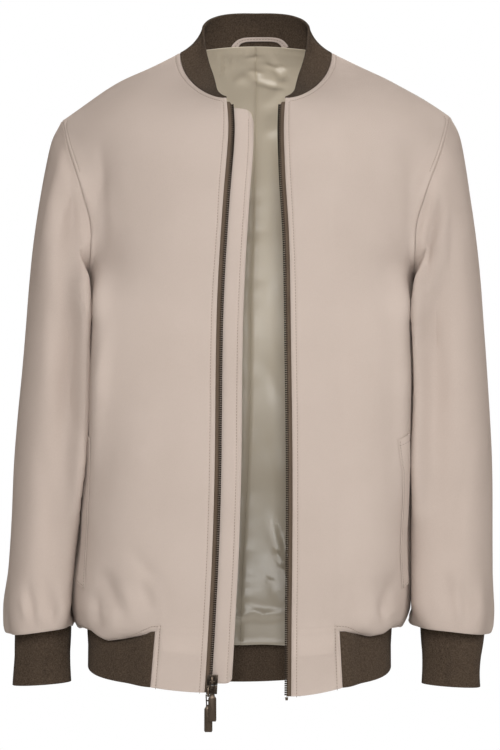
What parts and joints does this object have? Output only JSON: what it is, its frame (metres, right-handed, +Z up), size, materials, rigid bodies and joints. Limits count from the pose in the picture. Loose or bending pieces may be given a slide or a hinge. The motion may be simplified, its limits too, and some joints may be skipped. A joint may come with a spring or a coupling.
{
  "type": "bomber jacket",
  "caption": "Open-front bomber jacket filled out as if worn, with rib collar, cuffs and hem, side-entry pockets and a two-way zip",
  "frame": {"origin": "middle of the neck, at the height of the side-neck points, where the wearer's shoulders carry the jacket", "axes": "+X towards the wearer's left, +Y towards the wearer's back, +Z up"},
  "size_m": [0.5247, 0.2567, 0.7637],
  "materials": {
    "shell": "matt beige wool-like cloth, fine twill",
    "rib": "dark brown fine rib knit",
    "lining": "sage-grey satin",
    "zip_tape": "brown woven tape with dark teeth",
    "hardware": "dark gunmetal, satin"
  },
  "bodies": {
    "jacket": {"back": "shell", "collar_rib": "rib", "cuff_left": "rib", "cuff_right": "rib", "front_left": "shell", "front_right": "shell", "hanger_loop": "shell", "hem_rib": "rib", "lining_back_left": "lining", "lining_back_right": "lining", "pocket_welt_left": "shell", "pocket_welt_right": "shell", "sleeve_left": "shell", "sleeve_right": "shell", "slider_lower": "hardware", "slider_upper": "hardware", "zip_guard": "shell", "zip_pin": "hardware", "zip_tape_left": "zip_tape", "zip_tape_right": "zip_tape"},
    "upper_pull": {"pull_upper": "hardware"},
    "lower_pull": {"pull_lower": "hardware"}
  },
  "joints": [
    {"name": "upper_pull_swing", "type": "hinge", "parent": "jacket", "child": "upper_pull", "pos_m": [-0.0455, -0.12925, -0.6614], "axis": [-1, 0, 0], "range_deg": [0, 150]},
    {"name": "lower_pull_swing", "type": "hinge", "parent": "jacket", "child": "lower_pull", "pos_m": [-0.0496, -0.12609, -0.6753], "axis": [-1, 0, 0], "range_deg": [-80, 0]}
  ]
}
